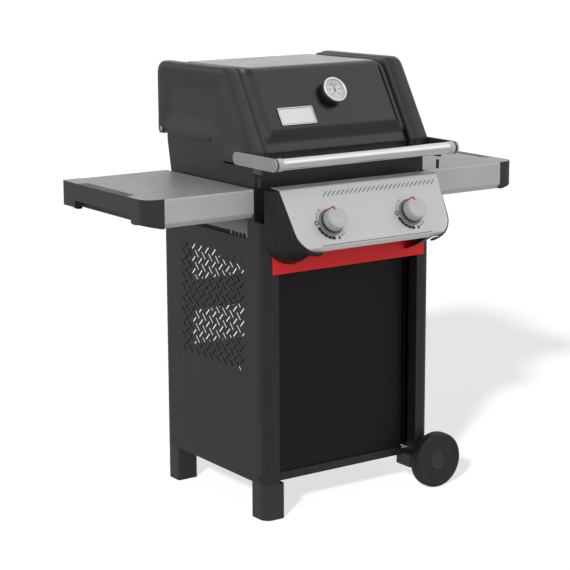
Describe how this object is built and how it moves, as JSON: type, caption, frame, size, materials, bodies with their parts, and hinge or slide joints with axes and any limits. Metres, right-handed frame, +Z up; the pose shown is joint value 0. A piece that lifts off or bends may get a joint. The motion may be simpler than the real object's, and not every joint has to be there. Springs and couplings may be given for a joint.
{
  "type": "gas barbecue grill",
  "caption": "Free-standing gas barbecue on a four-post cart: hinged lid with handle, slanted panel with push-and-turn knobs, side tables, wheels and a pull-out grease tray.",
  "frame": {"origin": "on the ground under the middle of the bounding box, midway between the ends of the side tables and between the front of the knobs and the back of the rear wheel", "axes": "+X towards the grill's right side table as the cook faces it (the wheel side), +Y towards the back, +Z up"},
  "size_m": [1.212, 0.6754, 1.1892],
  "materials": {
    "powder_coat": "satin black powder coat on sheet steel",
    "lid_enamel": "satin black porcelain enamel on pressed steel",
    "cast_aluminium": "black paint on cast aluminium",
    "silver_paint": "light grey metallic paint on sheet steel",
    "stainless": "polished and brushed stainless steel",
    "black_plastic": "moulded black glass-filled nylon",
    "silver_plastic": "silver painted plastic",
    "red_paint": "red powder coat",
    "galvanised": "dull aluminised steel",
    "cast_iron": "porcelain enamelled cast iron",
    "brass": "plain brass",
    "needle_red": "red lacquer"
  },
  "bodies": {
    "cart": {"axle": "galvanised", "axle_bracket_back": "black_plastic", "axle_bracket_front": "black_plastic", "back_member_lower": "powder_coat", "back_member_upper": "powder_coat", "bottom_rail_back": "powder_coat", "bottom_rail_front": "powder_coat", "burner_tube_left": "stainless", "burner_tube_right": "stainless", "control_panel": "silver_paint", "cookbox": "cast_aluminium", "foot_back_left": "black_plastic", "foot_front_left": "black_plastic", "front_panel": "powder_coat", "heat_bar_1": "cast_iron", "heat_bar_2": "cast_iron", "heat_bar_3": "cast_iron", "heat_shield": "galvanised", "hinge_pin_left": "galvanised", "hinge_pin_right": "galvanised", "knob_bezel_left": "silver_plastic", "knob_bezel_right": "silver_plastic", "manifold": "galvanised", "post_back_left": "powder_coat", "post_back_right": "powder_coat", "post_front_left": "powder_coat", "post_front_right": "powder_coat", "red_crossbar": "red_paint", "shroud_left": "black_plastic", "shroud_right": "black_plastic", "side_panel_left": "powder_coat", "side_panel_right": "powder_coat", "table_cap_left": "black_plastic", "table_cap_right": "black_plastic", "table_top_left": "silver_paint", "table_top_right": "silver_paint", "valve_left": "brass", "valve_right": "brass"},
    "lid": {"lid_shell": "lid_enamel", "lid_end_cap_left": "cast_aluminium", "lid_end_cap_right": "cast_aluminium", "handle_tube": "stainless", "handle_arm_left": "silver_plastic", "handle_arm_right": "silver_plastic", "thermometer": "stainless", "badge_plate": "stainless"},
    "needle": {"thermometer_needle": "needle_red"},
    "stem_left": {"valve_stem_left": "brass"},
    "stem_right": {"valve_stem_right": "brass"},
    "knob_left": {"knob_left": "silver_plastic"},
    "knob_right": {"knob_right": "silver_plastic"},
    "wheel_front": {"wheel_front": "black_plastic", "hub_cap_front": "black_plastic"},
    "wheel_back": {"wheel_back": "black_plastic", "hub_cap_back": "black_plastic"},
    "tray": {"grease_tray": "galvanised", "drip_pan": "galvanised"},
    "grate_left": {"cooking_grate_left": "cast_iron"},
    "grate_right": {"cooking_grate_right": "cast_iron"},
    "rack": {"warming_rack": "stainless"}
  },
  "joints": [
    {"name": "lid_hinge", "type": "hinge", "parent": "cart", "child": "lid", "pos_m": [0, 0.27547, 1], "axis": [-1, 0, 0], "range_deg": [0, 80]},
    {"name": "needle_turn", "type": "hinge", "parent": "lid", "child": "needle", "pos_m": [0.019, -0.10626, 1.11842], "axis": [0, -0.8556, 0.5176], "range_deg": [-125, 125], "stiffness_Nm_per_rad": 0.0001},
    {"name": "knob_push_left", "type": "slide", "parent": "cart", "child": "stem_left", "axis": [0, 0.8721, -0.4894], "range_m": [0, 0.0035], "stiffness_N_per_m": 800, "springref_m": -0.002},
    {"name": "knob_turn_left", "type": "hinge", "parent": "stem_left", "child": "knob_left", "pos_m": [-0.1297, -0.29976, 0.80771], "axis": [0, -0.8721, 0.4894], "range_deg": [0, 195]},
    {"name": "knob_push_right", "type": "slide", "parent": "cart", "child": "stem_right", "axis": [0, 0.8721, -0.4894], "range_m": [0, 0.0035], "stiffness_N_per_m": 800, "springref_m": -0.002},
    {"name": "knob_turn_right", "type": "hinge", "parent": "stem_right", "child": "knob_right", "pos_m": [0.1297, -0.29976, 0.80771], "axis": [0, -0.8721, 0.4894], "range_deg": [0, 195]},
    {"name": "wheel_spin_front", "type": "hinge", "parent": "cart", "child": "wheel_front", "pos_m": [0.286, -0.23673, 0.078], "axis": [0, 1, 0], "continuous": true},
    {"name": "wheel_spin_back", "type": "hinge", "parent": "cart", "child": "wheel_back", "pos_m": [0.286, 0.33766, 0.078], "axis": [0, 1, 0], "continuous": true},
    {"name": "tray_slide", "type": "slide", "parent": "cart", "child": "tray", "axis": [0, 1, 0], "range_m": [0, 0.3]},
    {"name": "grate_lift_left", "type": "slide", "parent": "cart", "child": "grate_left", "axis": [0, 0, 1], "range_m": [0, 0.05]},
    {"name": "grate_lift_right", "type": "slide", "parent": "cart", "child": "grate_right", "axis": [0, 0, 1], "range_m": [0, 0.05]},
    {"name": "rack_lift", "type": "slide", "parent": "cart", "child": "rack", "axis": [0, 0, 1], "range_m": [0, 0.05]}
  ]
}
